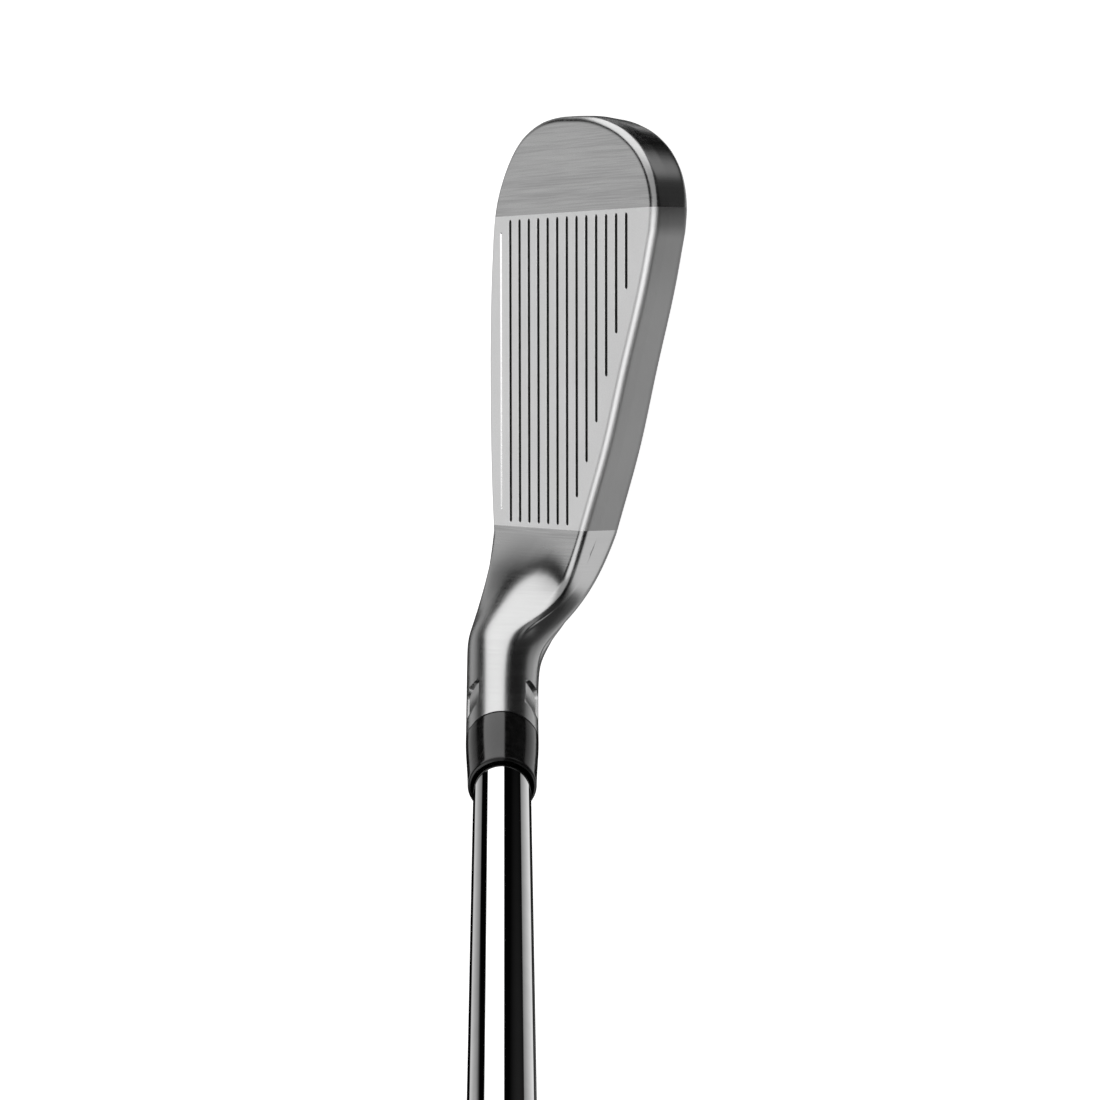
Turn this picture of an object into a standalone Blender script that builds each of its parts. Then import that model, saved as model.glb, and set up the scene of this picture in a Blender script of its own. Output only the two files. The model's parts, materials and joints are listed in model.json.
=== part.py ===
"""An iron golf club: a cast head with a face plate, a rear cap and its inner parts, a ferrule, a
tapered steel shaft and a rubber grip. It stands at address, sole down, with +X from heel to toe,
+Y towards the target and +Z up. It is built in millimetres and scaled to metres at the end."""

from math import cos, pi, radians, sin, tan

import bmesh
import bpy
import numpy as np
from mathutils import Matrix, Vector

MM = 0.001
GAP = 0.3                      # clearance between neighbouring solids

# The club as a whole
LOFT = radians(30.0)           # face leans back from the vertical
LIE = radians(62.5)            # shaft rises from the ground
ORIGIN = (182.05, 9.5, 1.04)  # moves the heel-based frame to the middle of the club's footprint

# Head: the shaft axis meets the ground line at the heel frame's origin
FACE_Y = 3.63                  # where the face plane meets the ground line
TOE_X, TOE_U = 60.0, 31.0      # middle of the toe's round end: along the blade, and up the face
HEEL_X = 14.0                  # the blade starts to turn into the neck here
PIVOT_X, PIVOT_Z = -1.6, 41.5  # the neck bends round this point
BEND_RADIUS = 20.0             # of the neck's middle, which measures the travel along it
FRONT_TURN = (7.6, 18.4)       # travel from HEEL_X at which the front starts to turn round, and its length
REAR_TURN = (10.9, 27.1)
TOP_EDGE = [(8, 36.6), (22, 44.0), (36, 50.0), (50, 56.2), (60, 59.7)]       # x, up the face
LEADING_EDGE = [(0, 2.2), (10, 1.0), (34, 0.15), (50, 0.5), (60, 1.3)]      # x, up the face
TOE_EDGE = [(0, 28.7), (10, 29.6), (20, 29.4), (30, 28.1), (42, 25.9), (56, 23.6), (72, 22.0),
            (88, 21.4), (104, 22.2), (120, 24.0), (135, 26.0), (150, 27.5), (165, 28.9),
            (180, 29.7)]       # degrees round the toe from straight up, radius
HOSEL_RADIUS = 6.35
HOSEL_TOP = 62.0               # along the shaft axis from the ground
BORE_RADIUS = 5.1
BORE_BOTTOM = 29.0
POCKET_DEPTH = 0.75            # lightening pockets on the front and back of the hosel
POCKET_SPAN = (49.5, 57.5)
POCKET_HALF_WIDTH = 1.9
POCKET_TURN = radians(60)      # from the toe side of the hosel round to the middle of a pocket
FACE_THICKNESS = 2.0
SEAT_DEPTH = FACE_THICKNESS + GAP
CAP_THICKNESS = 1.6

# Score lines
LINE_COUNT = 14
LINE_FIRST = 7.0               # up the face
LINE_PITCH = 3.3967
LINE_TOE_X = 63.5
LINE_HEEL_X = 7.8
LINE_WIDTH = 0.8
LINE_DEPTH = 0.45
LINE_MARGIN = 5.1              # the upper lines stop this far short of the top edge

# Ferrule, shaft and grip, along the shaft axis
FERRULE_END = 76.3
FERRULE_RADIUS = 5.93
TIP = 29.6
SHAFT_END = 937.0
SHAFT_WALL = 0.42
SHAFT_RADII = [(TIP, 4.75), (58, 4.75), (76, 4.95), (330, 6.1), (SHAFT_END, 7.62)]
GRIP_START, GRIP_END = 675.0, 937.3
GRIP_RADII = [(GRIP_START, 8.9), (700, 9.6), (800, 11.3), (930, 13.2), (GRIP_END, 13.5)]
TAPE_THICKNESS = 0.4
CAP_END = 941.5
VENT_RADIUS = 1.5
TURN_STEPS = 28               # facets round a turned piece

SHAFT_AXIS = Vector((-cos(LIE), 0, sin(LIE)))
ACROSS_SHAFT = Vector((sin(LIE), 0, cos(LIE)))
PIVOT_REACH = PIVOT_X * sin(LIE) + PIVOT_Z * cos(LIE)
PIVOT_RISE = PIVOT_Z * sin(LIE) - PIVOT_X * cos(LIE)

# How many points each stretch of a head section has: the four arcs and the five runs
ARC_STEPS = 3
RUN_STEPS = (4, 1, 1, 2, 3)


def mix(a, b, share):
    return a + (b - a) * share


def ease(share):
    share = min(max(share, 0.0), 1.0)
    return share * share * (3 - 2 * share)


def curve_at(points, x):
    """Value at x of a smooth curve through a few (x, value) points, straight beyond its ends."""
    xs = [p[0] for p in points]
    ys = [p[1] for p in points]
    last = len(points) - 1
    chord = [(ys[i + 1] - ys[i]) / (xs[i + 1] - xs[i]) for i in range(last)]
    if x <= xs[0]:
        return ys[0] + chord[0] * (x - xs[0])
    if x >= xs[last]:
        return ys[last] + chord[-1] * (x - xs[last])
    slope = [chord[0]] + [(chord[i - 1] + chord[i]) / 2 for i in range(1, last)] + [chord[-1]]
    i = max(j for j in range(last) if xs[j] <= x)
    width = xs[i + 1] - xs[i]
    t = (x - xs[i]) / width
    rise = ys[i] + (3 * t * t - 2 * t ** 3) * (ys[i + 1] - ys[i])
    return rise + width * t * (1 - t) * ((1 - t) * slope[i] - t * slope[i + 1])


def rounded_path(corners, radii):
    """Open path through the corners, each inner corner turned into an arc of its radius."""
    corners = [np.array(c, float) for c in corners]
    path = [corners[0]]
    start = corners[0]
    for i, radius in enumerate(radii):
        before = corners[i] - corners[i + 1]
        after = corners[i + 2] - corners[i + 1]
        before /= np.linalg.norm(before)
        after /= np.linalg.norm(after)
        half = np.arccos(np.clip(before @ after, -1, 1)) / 2
        middle = (before + after) / np.linalg.norm(before + after)
        centre = corners[i + 1] + middle * radius / np.sin(half)
        first = corners[i + 1] + before * radius / np.tan(half)
        end = corners[i + 1] + after * radius / np.tan(half)
        a0 = np.arctan2(*(first - centre)[::-1])
        turn = (np.arctan2(*(end - centre)[::-1]) - a0 + pi) % (2 * pi) - pi
        path += [mix(start, first, k / RUN_STEPS[i]) for k in range(1, RUN_STEPS[i])]
        angles = [a0 + turn * k / ARC_STEPS for k in range(ARC_STEPS + 1)]
        path += [centre + radius * np.array([cos(a), sin(a)]) for a in angles]
        start = end
    path += [mix(start, corners[-1], k / RUN_STEPS[-1]) for k in range(1, RUN_STEPS[-1] + 1)]
    return path


def half_section(reach, depth, tilt, crown, rim, heel, knee, middle_depth, thinner):
    """From the middle of the face over the rim to the middle of the back, as (reach, depth) points.
    The rim's wall is depth deep and leans in by tilt; knee is a corner of the back."""
    back = reach - depth * tan(tilt)
    corners = [(0, 0), (reach, 0), (mix(reach, back, 0.45) + crown, 0.45 * depth),
               (back, depth - thinner), (knee[0], knee[1] - thinner), (0, middle_depth - thinner)]
    return rounded_path(corners, [rim, 8.0, heel, knee[2]])


def toe_section(angle, thinner):
    """Half section at an angle round the toe, from 0 at the top edge to 180 at the sole."""
    toe, low = ease(angle / 90), ease((angle - 90) / 90)
    reach = curve_at(TOE_EDGE, angle)
    depth = mix(mix(7.4, 8.6, toe), 16.4, low)
    tilt = radians(mix(2 * toe, 26, low))
    knee = (mix(0.5 * reach, 6.0, low), mix(mix(8.4, 9.4, toe), 13.0, low), mix(8.0, 3.0, low))
    crown = mix(mix(0.1, 0.5, toe), 0.7, low)
    return half_section(reach, depth, tilt, crown, mix(1.6, 2.4, low), mix(1.3, 2.5, low), knee, 10.0,
                        thinner)


def blade_mid(x):
    """Height up the face of the line where a blade section's two halves meet."""
    return mix(20.0, TOE_U, x / TOE_X)


def face_point(x, up, depth):
    """Point of the heel frame from its place on the face and its depth behind it."""
    return Vector((x, FACE_Y - up * sin(LOFT) - depth * cos(LOFT), up * cos(LOFT) - depth * sin(LOFT)))


def closed_loop(upper, lower):
    return upper + lower[-2:0:-1]


def blade_loop(x, thinner):
    """Section of the blade across x, from mid face up over the top edge and back under the sole."""
    mid = blade_mid(x)
    heel = ease((TOE_X - x) / 50)
    upper_reach = curve_at(TOP_EDGE, x) - mid
    upper = half_section(upper_reach, mix(7.4, 7.9, heel), 0.0, 0.1, 1.6, 1.3,
                         (0.5 * upper_reach, mix(8.4, 8.8, heel), 8.0), 10.0, thinner)
    lower = half_section(mid - curve_at(LEADING_EDGE, x), mix(16.4, 13.5, heel), radians(26), 0.7, 2.4, 2.5,
                         (mix(6.0, 4.5, heel), mix(13.0, 11.0, heel), 3.0), 10.0, thinner)
    return closed_loop([face_point(x, mid + r, d) for r, d in upper],
                       [face_point(x, mid - r, d) for r, d in lower])


def ring_angles():
    """Where each point of a head section lands on the round hosel: 0 faces the target, 90 the toe."""
    counts = [RUN_STEPS[0]]
    for run in RUN_STEPS[1:]:
        counts += [ARC_STEPS, run]
    marks = np.cumsum([0] + counts)
    upper = np.interp(range(marks[-1] + 1), marks, [0, 66, 98, 106, 122, 145, 160, 165, 173, 180])
    lower = np.interp(range(marks[-1] + 1), marks, [0, 33, 60, 80, 96, 120, 142, 150, 165, 180])
    return np.radians(closed_loop(list(upper), list(-lower)))


def neck_shares(travel, angles):
    """How far each point has gone from the blade to the round hosel: the front turns first."""
    rear = np.array([ease((abs(a) - 0.85) / 1.15) for a in angles])
    start = mix(FRONT_TURN[0], REAR_TURN[0], rear)
    length = mix(FRONT_TURN[1], REAR_TURN[1], rear)
    return np.array([ease(s) for s in (travel - start) / length])


def neck_loops(turn_steps, hosel_steps, thinner):
    """Sections from the heel of the blade, round the bend of the neck and up to the hosel's top."""
    angles = ring_angles()
    ring_y = np.cos(angles) * HOSEL_RADIUS
    ring_height = (1 + np.sin(angles)) / 2
    loops = []

    def shaped(flat, travel):
        """The blade section flat, moved towards the round one: y, and height from 0 to 1."""
        low, high = flat[:, 2].min(), flat[:, 2].max()
        share = neck_shares(travel, angles)
        return mix(flat[:, 1], ring_y, share), mix((flat[:, 2] - low) / (high - low), ring_height, share)

    for k in range(turn_steps // 2):
        x = mix(HEEL_X, PIVOT_X, k / (turn_steps // 2))
        flat = np.array(blade_loop(x, thinner))
        y, height = shaped(flat, HEEL_X - x)
        z = mix(flat[:, 2].min(), flat[:, 2].max(), height)
        loops.append([Vector((x, b, c)) for b, c in zip(y, z)])
    flat = np.array(blade_loop(PIVOT_X, thinner))
    heel_reach, top_reach = PIVOT_Z - flat[:, 2].min(), PIVOT_Z - flat[:, 2].max()
    for k in range(turn_steps):
        turn = LIE * k / turn_steps
        y, height = shaped(flat, HEEL_X - PIVOT_X + BEND_RADIUS * turn)
        hosel_side = (PIVOT_REACH + HOSEL_RADIUS) / cos(LIE - turn)
        sole_side = heel_reach / cos(turn)
        outer = (hosel_side ** -9 + sole_side ** -9) ** (-1 / 9)
        inner = mix(top_reach, PIVOT_REACH - HOSEL_RADIUS, ease(turn / LIE))
        reach = mix(outer, inner, height)
        x, z = PIVOT_X - reach * sin(turn), PIVOT_Z - reach * cos(turn)
        loops.append([Vector(point) for point in zip(x, y, z)])
    for k in range(hosel_steps + 1):
        along = mix(PIVOT_RISE, HOSEL_TOP, k / hosel_steps)
        y, height = shaped(flat, HEEL_X - PIVOT_X + BEND_RADIUS * LIE + along - PIVOT_RISE)
        off = mix(-HOSEL_RADIUS, HOSEL_RADIUS, height)
        loops.append([SHAFT_AXIS * along + ACROSS_SHAFT * o + Vector((0, b, 0)) for b, o in zip(y, off)])
    return loops


def head_solid(thinner=0.0):
    """The whole outer shape of the head, lofted from the toe to the hosel. thinner brings its back
    forwards, which gives the surface under the rear cap."""
    mesh = bmesh.new()
    blade = [blade_loop(mix(TOE_X, HEEL_X, k / 6), thinner) for k in range(6)]
    loops = [[mesh.verts.new(p) for p in loop] for loop in blade + neck_loops(12, 4, thinner)]
    size = len(loops[0])
    for one, two in zip(loops, loops[1:]):
        for i in range(size):
            mesh.faces.new((one[i], two[i], two[(i + 1) % size], one[(i + 1) % size]))
    mesh.faces.new(loops[-1])
    half = size // 2
    fan = [loops[0][:half + 1]]
    toe_steps = 24
    for k in range(1, toe_steps):
        angle = 180 * k / toe_steps
        points = toe_section(angle, thinner)[1:-1]
        a = radians(angle)
        rim = [mesh.verts.new(face_point(TOE_X + r * sin(a), TOE_U + r * cos(a), d)) for r, d in points]
        fan.append([loops[0][0]] + rim + [loops[0][half]])
    fan.append([loops[0][0]] + loops[0][:half - 1:-1])
    for one, two in zip(fan, fan[1:]):
        for i in range(half):
            corners = [one[i], one[i + 1], two[i + 1], two[i]]
            mesh.faces.new(list(dict.fromkeys(corners)))
    bmesh.ops.recalc_face_normals(mesh, faces=mesh.faces)
    return mesh


def prism(outline, near, far):
    """Solid with a straight wall behind an outline on the face, between two depths."""
    mesh = bmesh.new()
    front = [mesh.verts.new(face_point(x, u, near)) for x, u in outline]
    back = [mesh.verts.new(face_point(x, u, far)) for x, u in outline]
    mesh.faces.new(front)
    mesh.faces.new(back[::-1])
    for i in range(len(outline)):
        j = (i + 1) % len(outline)
        mesh.faces.new((front[i], back[i], back[j], front[j]))
    bmesh.ops.recalc_face_normals(mesh, faces=mesh.faces)
    return mesh


def rounded_outline(corners, steps=4):
    """Closed outline from corners (x, up the face, radius)."""
    outline = []
    for i, (x, u, radius) in enumerate(corners):
        here = Vector((x, u))
        before = (Vector(corners[i - 1][:2]) - here).normalized()
        after = (Vector(corners[(i + 1) % len(corners)][:2]) - here).normalized()
        half = before.angle(after) / 2
        centre = here + (before + after).normalized() * radius / sin(half)
        first = here + before * radius / tan(half) - centre
        end = here + after * radius / tan(half) - centre
        turn = first.angle_signed(end)
        outline += [centre + Matrix.Rotation(-turn * k / steps, 2) @ first for k in range(steps + 1)]
    return outline


def inset(corners, step):
    """The same outline with each corner moved inwards by step (outwards when negative)."""
    moved = []
    for i, (x, u, radius) in enumerate(corners):
        here = Vector((x, u))
        before = (Vector(corners[i - 1][:2]) - here).normalized()
        after = (Vector(corners[(i + 1) % len(corners)][:2]) - here).normalized()
        inward = (before + after).normalized()
        shift = inward * step / sin(before.angle(after) / 2)
        moved.append((x + shift.x, u + shift.y, max(radius - step, 0.4)))
    return moved


# Outlines seen along the face's normal, as corners (x, up the face, radius)
PLATE = [(6.6, 6.0, 3), (6.6, 32.7, 3), (58.5, 56.3, 14), (76.5, 54.0, 15), (77.8, 20.0, 16),
         (66.0, 6.0, 12)]
CAP = [(13.0, 23.0, 3), (13.0, 35.5, 4), (58.0, 56.0, 12), (76.5, 54.0, 15), (77.5, 25.0, 8)]
CAVITY = [(17.5, 16.0, 2), (17.5, 30.0, 3), (59.0, 49.5, 9), (70.5, 48.5, 5), (71.0, 38.5, 2),
          (58.5, 37.5, 2), (57.5, 16.0, 3)]
BADGE = [(24.0, 28.5, 2), (24.0, 36.0, 2), (55.0, 49.0, 4), (64.0, 49.0, 5), (64.0, 33.0, 4),
         (52.0, 28.5, 4)]
BADGE_THICKNESS = 0.8
CAP_FRONT = 5.2                # depth of the cap's front rim and of its seat
CAVITY_DEPTH = 8.8
DAMPER = [(23.0, 16.5, 1), (23.0, 26.0, 3), (53.0, 30.0, 3), (53.0, 16.5, 1)]
DAMPER_DEPTH = 7.0
WEIGHT_X, WEIGHT_UP, WEIGHT_RADIUS = 65.5, 30.5, 4.0
WEIGHT_SPAN = (4.7, 7.6)       # depths of its two ends
SLOT = [(20.0, -6.0, 0.6), (20.0, 20.0, 0.6), (56.0, 20.0, 0.6), (56.0, -6.0, 0.6)]
INSERT = [(20.0, 3.6, 0.6), (20.0, 15.9, 0.6), (56.0, 15.9, 0.6), (56.0, 3.6, 0.6)]
SLOT_DEPTH, SLOT_WIDTH = 6.0, 2.6


def turned(profile):
    """Solid turned about the shaft axis from (distance along the axis, radius) points, which start
    at the end nearest the grip, run down the outside and, if it is hollow, back up the inside."""
    data = bpy.data.meshes.new("profile")
    points = [(radius * MM, 0, along * MM) for along, radius in profile]
    count = len(points)
    hollow = profile[0][1] > 0
    data.from_pydata(points, [(i, (i + 1) % count) for i in range(count if hollow else count - 1)], [])
    item = bpy.data.objects.new("profile", data)
    screw = item.modifiers.new("turn", "SCREW")
    screw.steps = screw.render_steps = TURN_STEPS
    screw.use_merge_vertices = True
    screw.merge_threshold = 0.00001
    item.rotation_euler = (0, LIE - pi / 2, 0)
    return item


def sleeve(stations, outer, inner):
    """Profile of a hollow turned piece from its radii, outer and inner, at each distance."""
    outside = [(s, outer(s)) for s in sorted(stations, reverse=True)]
    return outside + [(s, inner(s)) for s in sorted(stations)]


def radius_at(radii, along):
    return float(np.interp(along, [p[0] for p in radii], [p[1] for p in radii]))


def shaft_radius(along):
    return radius_at(SHAFT_RADII, along)


def round_bar(start, end, radius):
    """Cylinder between two points of the heel frame."""
    mesh = bmesh.new()
    bmesh.ops.create_cone(mesh, cap_ends=True, segments=24, radius1=radius, radius2=radius,
                          depth=(end - start).length)
    turn = (end - start).to_track_quat("Z", "Y").to_matrix().to_4x4()
    mesh.transform(Matrix.Translation((start + end) / 2) @ turn)
    return mesh


def line_ends(number):
    """Heel and toe ends of a score line. The upper ones stop short of the sloping top edge."""
    up = LINE_FIRST + LINE_PITCH * number
    if number == 0:
        return LINE_HEEL_X + 2.1, LINE_TOE_X - 2.1
    heel = LINE_HEEL_X
    while curve_at(TOP_EDGE, heel) - up < LINE_MARGIN:
        heel += 0.1
    return heel, LINE_TOE_X


def score_line(number):
    """Cutter for one score line: a long slot with round ends."""
    heel, toe = line_ends(number)
    up = LINE_FIRST + LINE_PITCH * number
    half = LINE_WIDTH / 2
    angles = [pi / 2 + pi * k / 4 for k in range(5)]
    outline = [(heel + half + half * cos(a), up + half * sin(a)) for a in angles]
    outline += [(toe - half - half * cos(a), up - half * sin(a)) for a in angles]
    return prism(outline, -1.0, LINE_DEPTH)


def pocket(side):
    """Cutter for the shallow pocket on the front (1) or rear (-1) of the hosel, square at its head
    end and sloping out towards the ferrule."""
    out = ACROSS_SHAFT * cos(POCKET_TURN) + Vector((0, side * sin(POCKET_TURN), 0))
    low, high = POCKET_SPAN
    floor, outside = HOSEL_RADIUS - POCKET_DEPTH, HOSEL_RADIUS + 2
    profile = [(low, floor), (high - 2, floor), (high + 4, outside), (low, outside)]
    mesh = bmesh.new()
    walls = []
    for across in (-POCKET_HALF_WIDTH, POCKET_HALF_WIDTH):
        edge = SHAFT_AXIS.cross(out) * across
        walls.append([mesh.verts.new(SHAFT_AXIS * a + edge + out * reach) for a, reach in profile])
    mesh.faces.new(walls[0])
    mesh.faces.new(walls[1][::-1])
    for i in range(4):
        j = (i + 1) % 4
        mesh.faces.new((walls[0][i], walls[1][i], walls[1][j], walls[0][j]))
    bmesh.ops.recalc_face_normals(mesh, faces=mesh.faces)
    return mesh


def clear_scene():
    for item in list(bpy.data.objects):
        bpy.data.objects.remove(item)


def new_collection(name):
    collection = bpy.data.collections.new(name)
    bpy.context.scene.collection.children.link(collection)
    return collection


def material(name, colour, metallic, roughness):
    made = bpy.data.materials.new(name)
    made.use_nodes = True
    shader = made.node_tree.nodes["Principled BSDF"]
    shader.inputs["Base Color"].default_value = (*colour, 1)
    shader.inputs["Metallic"].default_value = metallic
    shader.inputs["Roughness"].default_value = roughness
    made.diffuse_color = (*colour, 1)
    return made


def add_part(item, name, look):
    """Puts a piece in the club's collection and frame, with its own material."""
    item.name = item.data.name = name
    item.data.materials.append(look)
    item.data.shade_smooth()
    item.data.set_sharp_from_angle(angle=radians(35))
    parts.objects.link(item)
    item.parent = club_frame
    return item


def add_cutter(item, name):
    item.name = item.data.name = name
    item.hide_render = True
    item.display_type = "WIRE"
    cutters.objects.link(item)
    item.parent = club_frame
    return item


def from_mesh(mesh):
    """Object, in metres, from a bmesh in millimetres."""
    data = bpy.data.meshes.new("solid")
    mesh.to_mesh(data)
    mesh.free()
    data.transform(Matrix.Scale(MM, 4))
    return bpy.data.objects.new("solid", data)


def combine(item, tool, operation):
    modifier = item.modifiers.new(tool.name, "BOOLEAN")
    modifier.operation = operation
    modifier.solver = "EXACT"
    modifier.object = tool


def cut(item, name, mesh):
    combine(item, add_cutter(from_mesh(mesh), name), "DIFFERENCE")


def keep_inside(item, name, mesh):
    combine(item, add_cutter(from_mesh(mesh), name), "INTERSECT")


def outline_prism(corners, near, far):
    return prism(rounded_outline(corners), near, far)


def build_head_body():
    look = material("satin_steel", (0.52, 0.52, 0.53), 1.0, 0.3)
    body = add_part(from_mesh(head_solid()), "head_body", look)
    cut(body, "plate_seat", outline_prism(inset(PLATE, -GAP), -3, SEAT_DEPTH))
    cut(body, "cavity_tool", outline_prism(CAVITY, SEAT_DEPTH - 1, CAVITY_DEPTH))
    seat = add_cutter(from_mesh(outline_prism(inset(CAP, -GAP), CAP_FRONT - GAP, 40)), "cap_seat")
    cut(seat, "cap_seat_floor", head_solid(CAP_THICKNESS + GAP))
    combine(body, seat, "DIFFERENCE")
    bore = [(HOSEL_TOP + 2, 0), (HOSEL_TOP + 2, BORE_RADIUS), (BORE_BOTTOM, BORE_RADIUS), (BORE_BOTTOM, 0)]
    combine(body, add_cutter(turned(bore), "shaft_bore"), "DIFFERENCE")
    cut(body, "front_pocket", pocket(1))
    cut(body, "rear_pocket", pocket(-1))
    half = SLOT_WIDTH / 2
    cut(body, "sole_slot", outline_prism(SLOT, SLOT_DEPTH - half, SLOT_DEPTH + half))
    bottom = face_point(WEIGHT_X, WEIGHT_UP, WEIGHT_SPAN[0] - GAP)
    well = round_bar(bottom, face_point(WEIGHT_X, WEIGHT_UP, 30), WEIGHT_RADIUS + GAP)
    cut(body, "weight_well", well)


def build_face_plate():
    look = material("blasted_steel", (0.66, 0.66, 0.67), 1.0, 0.5)
    plate = add_part(from_mesh(outline_prism(PLATE, 0, FACE_THICKNESS)), "face_plate", look)
    for number in range(LINE_COUNT):
        cut(plate, f"score_line_{number}", score_line(number))


def build_cap_and_badge():
    look = material("cap_silver", (0.36, 0.36, 0.37), 0.8, 0.4)
    cap = add_part(from_mesh(head_solid()), "rear_cap", look)
    keep_inside(cap, "cap_outline", outline_prism(CAP, CAP_FRONT, 40))
    cut(cap, "cap_underside", head_solid(CAP_THICKNESS))
    look = material("badge_dark", (0.08, 0.08, 0.09), 0.4, 0.35)
    badge = add_part(from_mesh(head_solid(-GAP - BADGE_THICKNESS)), "cap_badge", look)
    keep_inside(badge, "badge_outline", outline_prism(BADGE, CAP_FRONT, 40))
    cut(badge, "badge_underside", head_solid(-GAP))


def build_inner_pieces():
    rubber = material("damper_rubber", (0.05, 0.05, 0.05), 0.0, 0.7)
    damper = from_mesh(outline_prism(DAMPER, SEAT_DEPTH, DAMPER_DEPTH))
    add_part(damper, "damping_bar", rubber)
    half = SLOT_WIDTH / 2 - GAP
    insert = from_mesh(outline_prism(inset(INSERT, GAP), SLOT_DEPTH - half, SLOT_DEPTH + half))
    add_part(insert, "sole_slot_insert", material("insert_black", (0.03, 0.03, 0.03), 0.0, 0.5))
    near, far = [face_point(WEIGHT_X, WEIGHT_UP, d) for d in WEIGHT_SPAN]
    weight = from_mesh(round_bar(near, far, WEIGHT_RADIUS))
    add_part(weight, "toe_weight", material("tungsten", (0.25, 0.25, 0.26), 1.0, 0.45))


def build_shaft():
    chrome = material("chrome", (0.8, 0.8, 0.81), 1.0, 0.05)
    stations = [p[0] for p in SHAFT_RADII] + [TIP + 25]
    profile = sleeve(stations, shaft_radius, lambda s: shaft_radius(s) - SHAFT_WALL)
    add_part(turned(profile), "shaft", chrome)
    reach = SHAFT_RADII[0][1] - SHAFT_WALL - GAP
    plug = [(TIP + 20, 0), (TIP + 20, reach - 0.4), (TIP + 19.6, reach), (TIP + 0.4, reach),
            (TIP, reach - 0.4), (TIP, 0)]
    add_part(turned(plug), "tip_weight", material("brass", (0.7, 0.5, 0.2), 1.0, 0.35))


def build_ferrule():
    start = HOSEL_TOP + GAP
    bore = [(start, shaft_radius(start) + GAP), (FERRULE_END - 1.2, shaft_radius(FERRULE_END) + GAP)]
    mouth = shaft_radius(FERRULE_END) + 0.55
    lip = [(FERRULE_END - 0.3, FERRULE_RADIUS - 0.1), (FERRULE_END - 0.9, FERRULE_RADIUS)]
    outside = [(FERRULE_END, mouth + 0.05)] + lip + [(start, HOSEL_RADIUS)]
    look = material("ferrule_black", (0.01, 0.01, 0.01), 0.0, 0.15)
    add_part(turned(outside + bore + [(FERRULE_END - 0.4, mouth)]), "ferrule", look)


def build_grip():
    """Tape under a rubber sleeve with rounded ends, and a vented cap in the butt."""
    tape_start = GRIP_START + 6
    stations = [tape_start, SHAFT_END]
    bond = material("tape_white", (0.8, 0.78, 0.7), 0.0, 0.8)
    tape = sleeve(stations, lambda s: shaft_radius(s) + GAP + TAPE_THICKNESS, lambda s: shaft_radius(s) + GAP)
    add_part(turned(tape), "grip_tape", bond)
    clearance = 2 * GAP + TAPE_THICKNESS
    stations = [p[0] for p in GRIP_RADII] + [GRIP_START + 0.8]
    grip = sleeve(stations, lambda s: radius_at(GRIP_RADII, s), lambda s: shaft_radius(s) + clearance)
    rubber = material("grip_rubber", (0.03, 0.03, 0.03), 0.0, 0.75)
    add_part(turned(grip), "grip", rubber)
    start, rim = GRIP_END + GAP, GRIP_RADII[-1][1]
    cap = [(CAP_END, rim - 1.6), (CAP_END - 0.5, rim - 0.6), (CAP_END - 1.6, rim), (start, rim),
           (start, VENT_RADIUS), (CAP_END, VENT_RADIUS)]
    add_part(turned(cap), "grip_end_cap", rubber)


clear_scene()
parts = new_collection("iron_golf_club")
cutters = new_collection("cutters")
club_frame = bpy.data.objects.new("club_frame", None)
club_frame.location = Vector(ORIGIN) * MM
parts.objects.link(club_frame)
build_head_body()
build_face_plate()
build_cap_and_badge()
build_inner_pieces()
build_shaft()
build_ferrule()
build_grip()
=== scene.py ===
"""Looks of the iron golf club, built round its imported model: the fine head, face, cap, hosel,
ferrule, shaft and grip, their procedural materials, a pale floor, soft studio light and the camera."""

import json
from math import cos, pi, radians, sin, tan

import bmesh
import bpy
import numpy as np
from mathutils import Matrix, Vector


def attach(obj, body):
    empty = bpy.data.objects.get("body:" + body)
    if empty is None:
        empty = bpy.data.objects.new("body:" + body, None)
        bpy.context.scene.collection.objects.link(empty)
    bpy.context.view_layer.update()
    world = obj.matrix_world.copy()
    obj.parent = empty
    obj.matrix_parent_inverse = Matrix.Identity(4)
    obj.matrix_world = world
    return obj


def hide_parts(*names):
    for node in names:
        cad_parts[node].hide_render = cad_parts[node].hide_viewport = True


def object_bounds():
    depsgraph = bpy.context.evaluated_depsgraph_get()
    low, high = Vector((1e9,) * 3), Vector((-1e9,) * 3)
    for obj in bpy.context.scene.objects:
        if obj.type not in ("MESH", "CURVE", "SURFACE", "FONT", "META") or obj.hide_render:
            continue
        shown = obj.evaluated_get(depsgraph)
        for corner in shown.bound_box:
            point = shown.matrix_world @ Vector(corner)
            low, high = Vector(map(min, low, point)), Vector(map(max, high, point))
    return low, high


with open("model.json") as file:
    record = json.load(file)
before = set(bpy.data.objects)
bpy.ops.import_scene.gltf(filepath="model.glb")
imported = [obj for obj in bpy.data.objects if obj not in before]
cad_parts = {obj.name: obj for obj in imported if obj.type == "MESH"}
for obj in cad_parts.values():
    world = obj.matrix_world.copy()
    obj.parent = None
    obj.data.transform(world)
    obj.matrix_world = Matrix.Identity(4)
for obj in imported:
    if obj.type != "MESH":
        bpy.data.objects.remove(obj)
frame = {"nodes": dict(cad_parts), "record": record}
cad_low, cad_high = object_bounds()

MM = 0.001

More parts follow.
